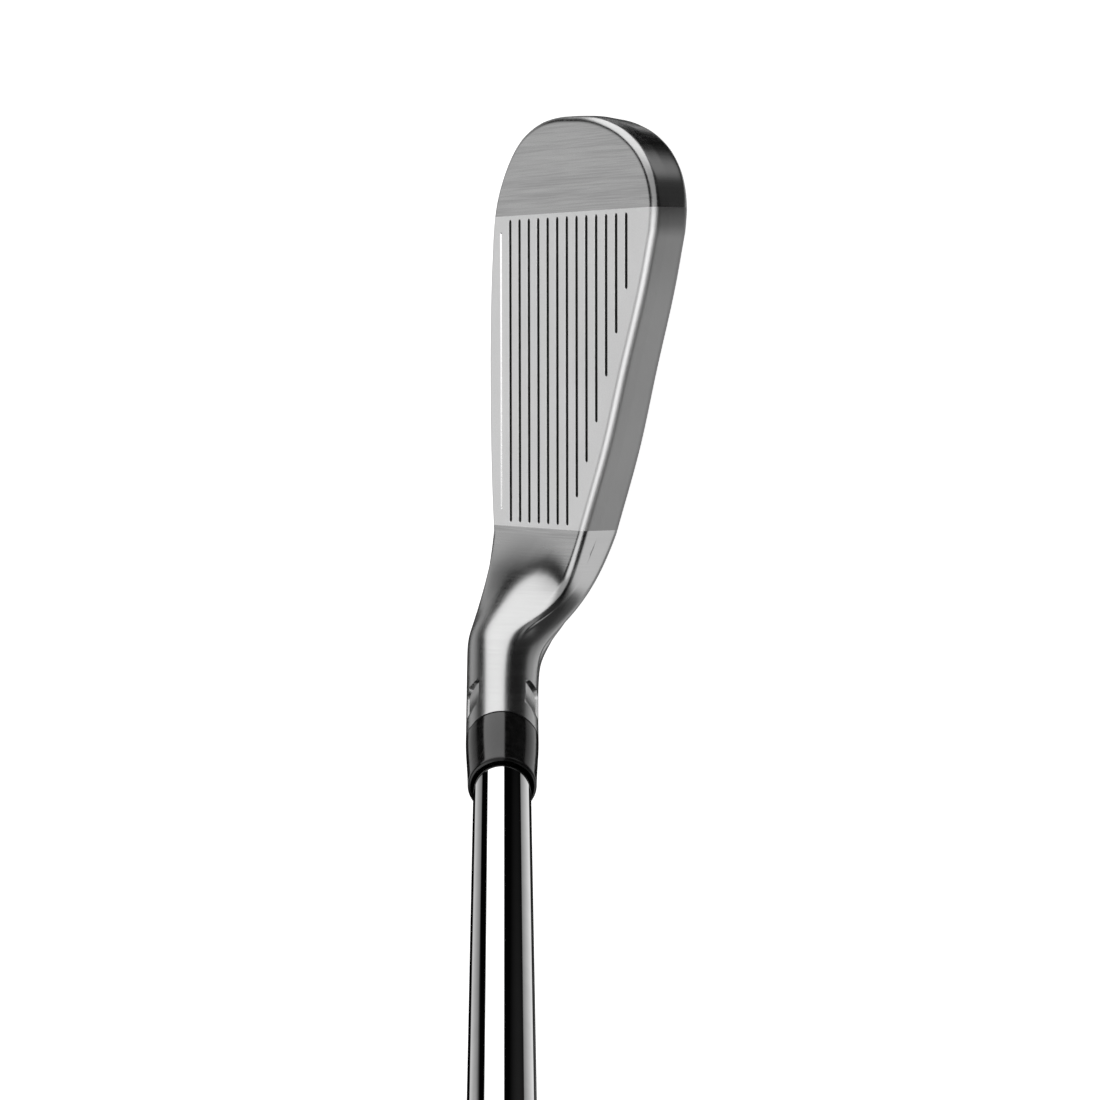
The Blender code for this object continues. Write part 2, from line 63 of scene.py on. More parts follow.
# The club's driving dimensions, in millimetres, in the heel's frame: the origin is where the shaft
# axis meets the ground line, +X runs from heel to toe, +Y to the target and +Z up.
LOFT = radians(30.0)
LIE = radians(62.5)
FACE_Y = 3.63                  # where the face plane meets the ground line
TOE_X, TOE_U = 60.0, 31.0      # middle of the toe's round end: along the blade, and up the face
HEEL_MID = 20.0                # middle of the blade, up the face, at the shaft axis
HEEL_X = 14.0                  # the blade starts to turn into the neck here
PIVOT_X, PIVOT_Z = -1.6, 41.5  # the neck bends round this point
BEND_RADIUS = 20.0             # of the neck's middle, which measures the travel along it
FRONT_TURN = (7.6, 18.4)       # travel at which the front starts to turn round, and its length
REAR_TURN = (10.9, 27.1)       # the same for the rear
REAR_SIDE = (0.85, 1.15)       # radians from the target side to where the rear starts, and the span
CREASE_DELAY = 4.5             # the face starts to turn later near its top edge than near the sole
CREASE_RISE = 1.2              # radians over which that delay grows
CREASE_FALL = (1.5, 0.6)       # where it starts to fall off again, and over what span
NECK_CORNER = 9                # power of the mean that joins the sole's reach to the hosel's
NECK_START_X = 6.4             # the neck is smoothed from here to the hosel's top
SMOOTH_RUN_IN, SMOOTH_RUN_OUT = 3.5, 12.0
SMOOTH_PASSES = 160
TOP_EDGE = [(8, 36.6), (22, 44.0), (36, 50.0), (50, 56.2), (60, 59.7)]       # x, up the face
LEADING_EDGE = [(0, 2.2), (10, 1.0), (34, 0.15), (50, 0.5), (60, 1.3)]       # x, up the face
TOE_EDGE = [(0, 28.7), (10, 29.6), (20, 29.4), (30, 28.1), (42, 25.9), (56, 23.6), (72, 22.0),
            (88, 21.4), (104, 22.2), (120, 24.0), (135, 26.0), (150, 27.5), (165, 28.9),
            (180, 29.7)]       # degrees round the toe from straight up, radius
TOE_RUN = 50.0                 # the blade's depths change over this length towards the heel
HOSEL_RADIUS = 6.35
HOSEL_TOP = 62.0               # along the shaft axis from the ground
BORE_RADIUS = 5.1
BORE_BOTTOM = 29.0
POCKET_DEPTH = 0.9             # pockets on the front and rear of the hosel
POCKET_SPAN = (48.6, 57.5)     # along the shaft axis
POCKET_HALF_WIDTH = 2.1
POCKET_TURN = radians(60)      # from the toe side of the hosel round to the middle of a pocket
POCKET_CORNER = 1.5
POCKET_RUN_OUT = 6.0           # the floor rises from 2 short of the span's end to 4 past it
FACE_THICKNESS = 2.0
SEAT_DEPTH = 2.3
GAP = 0.3                      # glue or braze between pieces
CAP_THICKNESS = 1.6
CAP_FRONT = 5.2
CAP_SEAM = 0.12                # visible joint round the rear cap

LINE_COUNT = 14
LINE_FIRST = 7.0               # up the face
LINE_PITCH = 3.3967
LINE_TOE_X, LINE_HEEL_X = 63.5, 7.8
LINE_MARGIN = 5.1              # the upper lines stop this far short of the top edge
LINE_END_RADIUS = 0.4
LOWEST_SHORTER = 2.1           # the lowest line is this much shorter at each end
# Half width of a score line at each depth: its edges are broken by a small bevel
LINE_PROFILE = [(-0.6, 1.3), (0.06, 0.45), (0.45, 0.4)]
LOWEST_PROFILE = [(-0.6, 1.02), (0.24, 0.09), (0.3, 0.08)]
BLAST_HEEL_X, BLAST_TOE_X = 6.95, 64.3   # ends of the blasted panel
BLAST_DEPTHS = (1.2, 7.9)      # the panel ends this deep at the sole and at the top edge
BLAST_RISE = (15.0, 25.0)      # up the face, where the one depth changes to the other

FERRULE_END = 76.3
FERRULE_RADIUS = 5.93
TIP = 29.6
SHAFT_END = 937.0
SHAFT_WALL = 0.42
SHAFT_RADII = [(TIP, 4.75), (58, 4.75), (76, 4.95), (330, 6.1), (SHAFT_END, 7.62)]
GRIP_START, GRIP_END = 675.0, 937.3
GRIP_RADII = [(GRIP_START, 8.9), (700, 9.6), (800, 11.3), (930, 13.2), (GRIP_END, 13.5)]
CAP_END = 941.5
VENT_RADIUS = 1.5

# Outlines seen along the face's normal, as corners (x, up the face, radius)
PLATE = [(6.6, 6.0, 3), (6.6, 32.7, 3), (58.5, 56.3, 14), (76.5, 54.0, 15), (77.8, 20.0, 16),
         (66.0, 6.0, 12)]
CAP = [(13.0, 23.0, 3), (13.0, 35.5, 4), (58.0, 56.0, 12), (76.5, 54.0, 15), (77.5, 25.0, 8)]
CAVITY = [(17.5, 16.0, 2), (17.5, 30.0, 3), (59.0, 49.5, 9), (70.5, 48.5, 5), (71.0, 38.5, 2),
          (58.5, 37.5, 2), (57.5, 16.0, 3)]
CAVITY_DEPTH = 8.8
BADGE = [(24.0, 28.5, 2), (24.0, 36.0, 2), (55.0, 49.0, 4), (64.0, 49.0, 5), (64.0, 33.0, 4),
         (52.0, 28.5, 4)]
SLOT = [(20.0, -6.0, 1.2), (20.0, 20.0, 1.2), (56.0, 20.0, 1.2), (56.0, -6.0, 1.2)]
SLOT_DEPTH, SLOT_WIDTH = 6.0, 2.6

WEIGHT_X, WEIGHT_UP, WEIGHT_RADIUS = 65.5, 30.5, 4.0      # the toe's weight, seen the same way
WEIGHT_FRONT = 4.7

# Half sections of the head at the top edge, the toe and the sole, and at the heel end of the blade:
# the rim wall's depth and lean in degrees, its crown, its radii at the face and at the back, and
# the knee of the back: share of the half's reach, reach added to that, depth and radius
TOP_HALF = np.array([7.4, 0, 0.1, 1.6, 1.3, 0.5, 0, 8.4, 8.0])
TOE_HALF = np.array([8.6, 2, 0.5, 1.6, 1.3, 0.5, 0, 9.4, 8.0])
SOLE_HALF = np.array([16.4, 26, 0.7, 2.4, 2.5, 0, 6.0, 13.0, 3.0])
TOP_HEEL_HALF = np.array([7.9, 0, 0.1, 1.6, 1.3, 0.5, 0, 8.8, 8.0])
SOLE_HEEL_HALF = np.array([13.5, 26, 0.7, 2.4, 2.5, 0, 4.5, 11.0, 3.0])
CROWN_SHARE, CROWN_RADIUS = 0.45, 8.0       # where the rim's wall is crowned
MIDDLE_DEPTH = 10.0

SHAFT_AXIS = Vector((-cos(LIE), 0, sin(LIE)))
ACROSS_SHAFT = Vector((sin(LIE), 0, cos(LIE)))
FACE_UP = Vector((0, -sin(LOFT), cos(LOFT)))
FACE_NORMAL = Vector((0, cos(LOFT), sin(LOFT)))
PIVOT_REACH = PIVOT_X * sin(LIE) + PIVOT_Z * cos(LIE)
PIVOT_RISE = PIVOT_Z * sin(LIE) - PIVOT_X * cos(LIE)

# The record's grip_hold lies on the shaft axis, 845 mm up it, which ties this frame to the row's
HOLD_RISE = 845.0
HOLD = next(m for m in frame["record"]["mounts"] if m["name"] == "grip_hold")
ORIGIN = Vector(HOLD["pos_m"]) - SHAFT_AXIS * HOLD_RISE * MM

# Points in each stretch of a head section: the four arcs, and the five runs between them
ARC_STEPS = 8
RUN_STEPS = (9, 4, 4, 6, 6)
# Degrees round the hosel, from the target side, on which the ends of those stretches land
UPPER_RING = (0, 84, 95, 104, 122, 145, 160, 165, 173, 180)
LOWER_RING = (0, 33, 60, 80, 96, 120, 142, 150, 165, 180)
# Sections along each part of the head, and points round a turned piece and round the grip
BLADE_STEPS, NECK_STEPS, HOSEL_STEPS, TOE_STEPS = 40, 56, 20, 72
TURN_STEPS, GRIP_STEPS = 128, 112


def mix(a, b, share):
    return a + (b - a) * share


def ease(share):
    share = min(max(share, 0.0), 1.0)
    return share * share * (3 - 2 * share)


def curve_at(points, x):
    """Value at x of a smooth curve through a few (x, value) points, straight beyond its ends."""
    xs = [p[0] for p in points]
    ys = [p[1] for p in points]
    last = len(points) - 1
    chord = [(ys[i + 1] - ys[i]) / (xs[i + 1] - xs[i]) for i in range(last)]
    if x <= xs[0]:
        return ys[0] + chord[0] * (x - xs[0])
    if x >= xs[last]:
        return ys[last] + chord[-1] * (x - xs[last])
    slope = [chord[0]] + [(chord[i - 1] + chord[i]) / 2 for i in range(1, last)] + [chord[-1]]
    i = max(j for j in range(last) if xs[j] <= x)
    width = xs[i + 1] - xs[i]
    t = (x - xs[i]) / width
    rise = ys[i] + (3 * t * t - 2 * t ** 3) * (ys[i + 1] - ys[i])
    return rise + width * t * (1 - t) * ((1 - t) * slope[i] - t * slope[i + 1])


def run_share(k, steps, first):
    """Share of a run at step k. The face's run crowds its points towards the rim."""
    share = k / steps
    return 1 - (1 - share) ** 3 if first else share


def rounded_path(corners, radii):
    """Open path through the corners, each inner corner turned into an arc of its radius."""
    corners = [np.array(c, float) for c in corners]
    path = [corners[0]]
    start = corners[0]
    for i, radius in enumerate(radii):
        before = corners[i] - corners[i + 1]
        after = corners[i + 2] - corners[i + 1]
        before /= np.linalg.norm(before)
        after /= np.linalg.norm(after)
        half = np.arccos(np.clip(before @ after, -1, 1)) / 2
        middle = (before + after) / np.linalg.norm(before + after)
        centre = corners[i + 1] + middle * radius / np.sin(half)
        first = corners[i + 1] + before * radius / np.tan(half)
        end = corners[i + 1] + after * radius / np.tan(half)
        a0 = np.arctan2(*(first - centre)[::-1])
        turn = (np.arctan2(*(end - centre)[::-1]) - a0 + pi) % (2 * pi) - pi
        steps = RUN_STEPS[i]
        path += [mix(start, first, run_share(k, steps, i == 0)) for k in range(1, steps)]
        angles = [a0 + turn * k / ARC_STEPS for k in range(ARC_STEPS + 1)]
        path += [centre + radius * np.array([cos(a), sin(a)]) for a in angles]
        start = end
    path += [mix(start, corners[-1], k / RUN_STEPS[-1]) for k in range(1, RUN_STEPS[-1] + 1)]
    return path


def half_section(reach, half, thinner):
    """From mid face over the rim to the middle of the back, as (reach, depth) points. thinner
    brings the back forwards."""
    depth, tilt, crown, rim, heel, knee_share, knee_more, knee_depth, knee_radius = half
    back = reach - depth * tan(radians(tilt))
    corners = [(0, 0), (reach, 0), (mix(reach, back, CROWN_SHARE) + crown, CROWN_SHARE * depth),
               (back, depth - thinner), (knee_share * reach + knee_more, knee_depth - thinner),
               (0, MIDDLE_DEPTH - thinner)]
    return rounded_path(corners, [rim, CROWN_RADIUS, heel, knee_radius])


def toe_section(angle, thinner):
    """Half section at an angle round the toe, from 0 at the top edge to 180 at the sole."""
    toe, low = ease(angle / 90), ease((angle - 90) / 90)
    half = mix(mix(TOP_HALF, TOE_HALF, toe), SOLE_HALF, low)
    return half_section(curve_at(TOE_EDGE, angle), half, thinner)


def blade_mid(x):
    """Height up the face of the line where a blade section's two halves meet."""
    return mix(HEEL_MID, TOE_U, x / TOE_X)


def face_point(x, up, depth):
    """Point of the heel's frame from its place on the face and its depth behind it."""
    return Vector((x, FACE_Y - up * sin(LOFT) - depth * cos(LOFT),
                   up * cos(LOFT) - depth * sin(LOFT)))


def closed_loop(upper, lower):
    return upper + lower[-2:0:-1]


def blade_loop(x, thinner):
    """Section of the blade across x, from mid face up over the top edge and back under the sole."""
    mid = blade_mid(x)
    heel = ease((TOE_X - x) / TOE_RUN)
    upper = half_section(curve_at(TOP_EDGE, x) - mid, mix(TOP_HALF, TOP_HEEL_HALF, heel), thinner)
    lower = half_section(mid - curve_at(LEADING_EDGE, x), mix(SOLE_HALF, SOLE_HEEL_HALF, heel),
                         thinner)
    return closed_loop([face_point(x, mid + r, d) for r, d in upper],
                       [face_point(x, mid - r, d) for r, d in lower])


def ring_angles():
    """Where each point of a head section lands on the round hosel: 0 is the target side, and a
    quarter turn the toe side."""
    counts = [RUN_STEPS[0]]
    for run in RUN_STEPS[1:]:
        counts += [ARC_STEPS, run]
    marks = np.cumsum([0] + counts)
    upper = np.interp(range(marks[-1] + 1), marks, UPPER_RING)
    lower = np.interp(range(marks[-1] + 1), marks, LOWER_RING)
    end = marks[1]
    upper[:end + 1] = [upper[end] * run_share(k, end, True) for k in range(end + 1)]
    return np.radians(closed_loop(list(upper), list(-lower)))


def neck_shares(travel, angles):
    """How far each point has gone from the blade to the round hosel: the front turns first."""
    rear = np.array([ease((abs(a) - REAR_SIDE[0]) / REAR_SIDE[1]) for a in angles])
    near_top = np.array([ease(a / CREASE_RISE) * (1 - ease((a - CREASE_FALL[0]) / CREASE_FALL[1]))
                         for a in angles])
    start = mix(FRONT_TURN[0], REAR_TURN[0], rear) + CREASE_DELAY * near_top
    length = mix(FRONT_TURN[1], REAR_TURN[1], rear)
    return np.array([ease(share) for share in (travel - start) / length])


def neck_loops(turn_steps, hosel_steps, thinner):
    """Sections from the heel of the blade, round the bend of the neck and up to the hosel's top."""
    angles = ring_angles()
    ring_y = np.cos(angles) * HOSEL_RADIUS
    ring_height = (1 + np.sin(angles)) / 2
    loops = []

    def shaped(flat, travel):
        """The blade section flat, moved towards the round one: y, and height from 0 to 1."""
        low, high = flat[:, 2].min(), flat[:, 2].max()
        share = neck_shares(travel, angles)
        height = mix((flat[:, 2] - low) / (high - low), ring_height, share)
        return mix(flat[:, 1], ring_y, share), height

    for k in range(turn_steps // 2):
        x = mix(HEEL_X, PIVOT_X, k / (turn_steps // 2))
        flat = np.array(blade_loop(x, thinner))
        y, height = shaped(flat, HEEL_X - x)
        z = mix(flat[:, 2].min(), flat[:, 2].max(), height)
        loops.append([Vector((x, b, c)) for b, c in zip(y, z)])
    flat = np.array(blade_loop(PIVOT_X, thinner))
    heel_reach, top_reach = PIVOT_Z - flat[:, 2].min(), PIVOT_Z - flat[:, 2].max()
    for k in range(turn_steps):
        turn = LIE * k / turn_steps
        y, height = shaped(flat, HEEL_X - PIVOT_X + BEND_RADIUS * turn)
        hosel_side = (PIVOT_REACH + HOSEL_RADIUS) / cos(LIE - turn)
        sole_side = heel_reach / cos(turn)
        outer = (hosel_side ** -NECK_CORNER + sole_side ** -NECK_CORNER) ** (-1 / NECK_CORNER)
        inner = mix(top_reach, PIVOT_REACH - HOSEL_RADIUS, ease(turn / LIE))
        reach = mix(outer, inner, height)
        x, z = PIVOT_X - reach * sin(turn), PIVOT_Z - reach * cos(turn)
        loops.append([Vector(point) for point in zip(x, y, z)])
    for k in range(hosel_steps + 1):
        along = mix(PIVOT_RISE, HOSEL_TOP, k / hosel_steps)
        y, height = shaped(flat, HEEL_X - PIVOT_X + BEND_RADIUS * LIE + along - PIVOT_RISE)
        off = mix(-HOSEL_RADIUS, HOSEL_RADIUS, height)
        loops.append([SHAFT_AXIS * along + ACROSS_SHAFT * o + Vector((0, b, 0))
                      for b, o in zip(y, off)])
    return loops


def smoothed(loops):
    """The loops with the neck's smoothed along its length, where the blade and the hosel stay."""
    points = np.array([[tuple(p) for p in loop] for loop in loops])
    x = points[:, 0, 0]
    weight = np.array([ease((NECK_START_X - px) / SMOOTH_RUN_IN) for px in x])
    rise = points.mean(axis=1) @ np.array(SHAFT_AXIS)
    weight *= np.array([ease((HOSEL_TOP - r) / SMOOTH_RUN_OUT) for r in rise])
    weight = 0.5 * weight[1:-1, None, None]
    for _ in range(SMOOTH_PASSES):
        points[1:-1] += weight * ((points[2:] + points[:-2]) / 2 - points[1:-1])
    return [[Vector(p) for p in loop] for loop in points]


def head_solid(thinner=0.0):
    """The whole outer shape of the head, lofted from the toe to the hosel. thinner brings its back
    forwards, which gives the surface under the rear cap."""
    mesh = bmesh.new()
    blade = [blade_loop(mix(TOE_X, HEEL_X, k / BLADE_STEPS), thinner) for k in range(BLADE_STEPS)]
    loops = smoothed(blade + neck_loops(NECK_STEPS, HOSEL_STEPS, thinner))
    loops = [[mesh.verts.new(p) for p in loop] for loop in loops]
    size = len(loops[0])
    for one, two in zip(loops, loops[1:]):
        for i in range(size):
            mesh.faces.new((one[i], two[i], two[(i + 1) % size], one[(i + 1) % size]))
    mesh.faces.new(loops[-1])
    half = size // 2
    fan = [loops[0][:half + 1]]
    for k in range(1, TOE_STEPS):
        angle = 180 * k / TOE_STEPS
        points = toe_section(angle, thinner)[1:-1]
        a = radians(angle)
        rim = [mesh.verts.new(face_point(TOE_X + r * sin(a), TOE_U + r * cos(a), d))
               for r, d in points]
        fan.append([loops[0][0]] + rim + [loops[0][half]])
    fan.append([loops[0][0]] + loops[0][:half - 1:-1])
    for one, two in zip(fan, fan[1:]):
        for i in range(half):
            corners = [one[i], one[i + 1], two[i + 1], two[i]]
            mesh.faces.new(list(dict.fromkeys(corners)))
    bmesh.ops.recalc_face_normals(mesh, faces=mesh.faces)
    return mesh


def prism(outline, near, far):
    """Solid with a straight wall behind an outline on the face, between two depths."""
    mesh = bmesh.new()
    front = [mesh.verts.new(face_point(x, u, near)) for x, u in outline]
    back = [mesh.verts.new(face_point(x, u, far)) for x, u in outline]
    mesh.faces.new(front)
    mesh.faces.new(back[::-1])
    for i in range(len(outline)):
        j = (i + 1) % len(outline)
        mesh.faces.new((front[i], back[i], back[j], front[j]))
    bmesh.ops.recalc_face_normals(mesh, faces=mesh.faces)
    return mesh


def rounded_outline(corners, steps=12):
    """Closed outline from corners (x, up the face, radius)."""
    outline = []
    for i, (x, u, radius) in enumerate(corners):
        here = Vector((x, u))
        before = (Vector(corners[i - 1][:2]) - here).normalized()
        after = (Vector(corners[(i + 1) % len(corners)][:2]) - here).normalized()
        half = before.angle(after) / 2
        centre = here + (before + after).normalized() * radius / sin(half)
        first = here + before * radius / tan(half) - centre
        end = here + after * radius / tan(half) - centre
        turn = first.angle_signed(end)
        outline += [centre + Matrix.Rotation(-turn * k / steps, 2) @ first
                    for k in range(steps + 1)]
    return outline


def inset(corners, step):
    """The same outline with each corner moved inwards by step (outwards when negative)."""
    moved = []
    for i, (x, u, radius) in enumerate(corners):
        here = Vector((x, u))
        before = (Vector(corners[i - 1][:2]) - here).normalized()
        after = (Vector(corners[(i + 1) % len(corners)][:2]) - here).normalized()
        inward = (before + after).normalized()
        shift = inward * step / sin(before.angle(after) / 2)
        moved.append((x + shift.x, u + shift.y, max(radius - step, 0.4)))
    return moved


def radius_at(radii, along):
    return float(np.interp(along, [p[0] for p in radii], [p[1] for p in radii]))


def shaft_radius(along):
    return radius_at(SHAFT_RADII, along)


# ---- Solids ----

SHARP_ANGLE = radians(32)      # edges sharper than this are shaded as edges


def turned(profile, steps=TURN_STEPS, relief=None):
    """Solid turned about the shaft axis from (distance along the axis, radius) points: down the
    outside and, if it is hollow, back up the inside. relief gives what is added to the radius."""
    mesh = bmesh.new()
    rings = []
    for number, (along, radius) in enumerate(profile):
        if radius == 0:
            rings.append([mesh.verts.new(SHAFT_AXIS * along)])
            continue
        ring = []
        for k in range(steps):
            angle = 2 * pi * k / steps
            reach = radius + (relief(number, along, angle) if relief else 0)
            out = ACROSS_SHAFT * cos(angle) + Vector((0, sin(angle), 0))
            ring.append(mesh.verts.new(SHAFT_AXIS * along + out * reach))
        rings.append(ring)
    if profile[0][1] > 0:
        rings.append(rings[0])
    for one, two in zip(rings, rings[1:]):
        for k in range(steps):
            j = (k + 1) % steps
            corners = [one[k % len(one)], one[j % len(one)],
                       two[j % len(two)], two[k % len(two)]]
            mesh.faces.new(list(dict.fromkeys(corners)))
    bmesh.ops.recalc_face_normals(mesh, faces=mesh.faces)
    return mesh


def arc(centre, radius, start, end, steps=10):
    """Points (along, radius) of an arc of a turned profile. Angles in degrees from outwards, and
    turning towards the grip."""
    angles = [radians(mix(start, end, k / steps)) for k in range(steps + 1)]
    return [(centre[0] + radius * sin(a), centre[1] + radius * cos(a)) for a in angles]


def stations(first, last, step):
    count = max(1, round(abs(last - first) / step))
    return [mix(first, last, k / count) for k in range(count + 1)]


def join(meshes):
    """One bmesh holding several separate solids."""
    whole = bmesh.new()
    for mesh in meshes:
        data = bpy.data.meshes.new("part")
        mesh.to_mesh(data)
        mesh.free()
        whole.from_mesh(data)
        bpy.data.meshes.remove(data)
    return whole


def from_mesh(mesh):
    """Object, in metres and in the heel's frame, from a bmesh in millimetres."""
    data = bpy.data.meshes.new("solid")
    mesh.to_mesh(data)
    mesh.free()
    data.transform(Matrix.Scale(MM, 4))
    item = bpy.data.objects.new("solid", data)
    bpy.context.scene.collection.objects.link(item)
    return item


def carved(base, *steps):
    """Object left of a solid after ("DIFFERENCE" or "INTERSECT", other solid) steps. A solid is a
    bmesh, or the object that an earlier carving left."""
    item = base if isinstance(base, bpy.types.Object) else from_mesh(base)
    tools = []
    for operation, other in steps:
        tool = other if isinstance(other, bpy.types.Object) else from_mesh(other)
        tools.append(tool)
        modifier = item.modifiers.new("carve", "BOOLEAN")
        modifier.operation = operation
        modifier.solver = "EXACT"
        modifier.object = tool
    bpy.context.view_layer.update()
    solved = item.evaluated_get(bpy.context.evaluated_depsgraph_get())
    shape = bpy.data.meshes.new_from_object(solved)
    item.modifiers.clear()
    item.data = shape
    for tool in tools:
        bpy.data.objects.remove(tool)
    return item


def finish_piece(item, name, look, slot, *nodes):
    """Names a piece, gives it its look, puts it in its place and hides the CAD nodes it stands for."""
    item.name = item.data.name = name
    item.location = ORIGIN
    item.data.materials.clear()
    item.data.materials.append(look)
    item.data.shade_smooth()
    item.data.set_sharp_from_angle(angle=SHARP_ANGLE)
    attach(item, "root")
    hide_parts(*nodes)
    return item


def hide_from_shaft(names):
    """Keeps the head out of the shaft's mirror, which shows only the studio."""
    for name in names:
        bpy.data.objects[name].visible_glossy = False


# ---- Materials ----

BRUSH_STRETCH = (1.0, 0.02, 0.02)     # the brush ran up the face, so marks hardly change that way
FINE_MARKS, BROAD_MARKS = 3200.0, 420.0      # noise scales of the brushing, per metre
GRAIN_MARKS, CLOUD_MARKS, SPECK_MARKS = 5200.0, 60.0, 1800.0
FINE_SHARE = 0.65                     # of the brushing, the rest is broad
BRUSHED_GREYS = (0.36, 0.52)          # on the flat of the face
CAST_GREYS = (0.47, 0.51)             # elsewhere
BLASTED_GREYS = (0.9, 0.97)
TOP_EDGE_PAINTED_SHADE = 0.43                  # painted shade: the blasted top edge is darkened to this share of the blasted face's tone
CLOUD_GREYS = (0.97, 1.0)
BRUSHED_ROUGHNESS = (0.2, 0.3)
CAST_ROUGHNESS = (0.23, 0.27)
BLASTED_ROUGHNESS = (0.42, 0.52)
BRUSH_RELIEF = 0.0016                 # millimetres, on the flat of the face
CAST_RELIEF = 0.0005                  # and elsewhere
BLAST_RELIEF = 0.005
FACE_COSINES = (0.9, 0.99)            # how squarely the flat of the face looks along its normal
# Cosines from the face's normal over which the top edge's painted shade fades out
TOP_EDGE_SHADE_COSINES = (0.2, 0.5)
PANEL_EDGE, PANEL_BACK_EDGE = 0.04, 0.1      # softness of the blasted panel's borders
PAINT_EDGE = 0.05                     # paint fills a score line up to this far below the face
LOWEST_PAINT_EDGE = 0.02              # the lowest line has a bright polished filling instead
LINE_BOTTOM = 0.5
BLACK_PAINT, BRIGHT_FILLING = (0.006, 0.014), (0.9, 0.96)
PAINT_ROUGHNESS, FILLING_ROUGHNESS = 0.45, 0.2


def put(tree, socket, value):
    if isinstance(value, bpy.types.Node):
        value = value.outputs[0]
    if isinstance(value, bpy.types.NodeSocket):
        tree.links.new(value, socket)
    else:
        socket.default_value = value


def node(tree, kind, inputs=None, **settings):
    """New node of a tree, with its settings, and its inputs given as values, nodes or sockets."""
    made = tree.nodes.new(kind)
    for key, value in settings.items():
        setattr(made, key, value)
    for key, value in (inputs or {}).items():
        put(tree, made.inputs[key], value)
    return made


def maths(tree, operation, *values):
    return node(tree, "ShaderNodeMath", dict(enumerate(values)), operation=operation)


def ramp_between(tree, value, low, high, from_value=0.0, to_value=1.0):
    """Smooth step of a value between two limits."""
    inputs = {"Value": value, "From Min": low, "From Max": high,
              "To Min": from_value, "To Max": to_value}
    return node(tree, "ShaderNodeMapRange", inputs, interpolation_type="SMOOTHSTEP")


def spread(tree, mark, low=0.0, high=1.0):
    """Value from low to high that follows a noise."""
    return ramp_between(tree, mark, 0.3, 0.7, low, high)


def blend(tree, share, one, two):
    """Value between two others."""
    mixer = node(tree, "ShaderNodeMix", {0: share}, data_type="FLOAT")
    put(tree, mixer.inputs[2], one)
    put(tree, mixer.inputs[3], two)
    return mixer


def grey(tree, value):
    """Neutral colour from a brightness."""
    return node(tree, "ShaderNodeCombineColor", {0: value, 1: value, 2: value})


def noise(tree, vector, scale, detail=3.0, roughness=0.55):
    inputs = {"Vector": vector, "Scale": scale, "Detail": detail, "Roughness": roughness}
    return node(tree, "ShaderNodeTexNoise", inputs)


def stretched(tree, vector, factors):
    return node(tree, "ShaderNodeVectorMath", {0: vector, 1: factors}, operation="MULTIPLY")


def dot(tree, vector, direction):
    product = node(tree, "ShaderNodeVectorMath", {0: vector, 1: direction}, operation="DOT_PRODUCT")
    return product.outputs["Value"]


def bump(tree, height, distance):
    return node(tree, "ShaderNodeBump", {"Height": height, "Distance": distance, "Strength": 1.0})


def new_material(name, **values):
    """Material, its tree, shader and object coordinates. values set the shader's sockets."""
    made = bpy.data.materials.new(name)
    made.use_nodes = True
    tree = made.node_tree
    shader = tree.nodes["Principled BSDF"]
    for key, value in values.items():
        shader.inputs[key.replace("_", " ")].default_value = value
    place = node(tree, "ShaderNodeTexCoord").outputs["Object"]
    return made, tree, shader, place


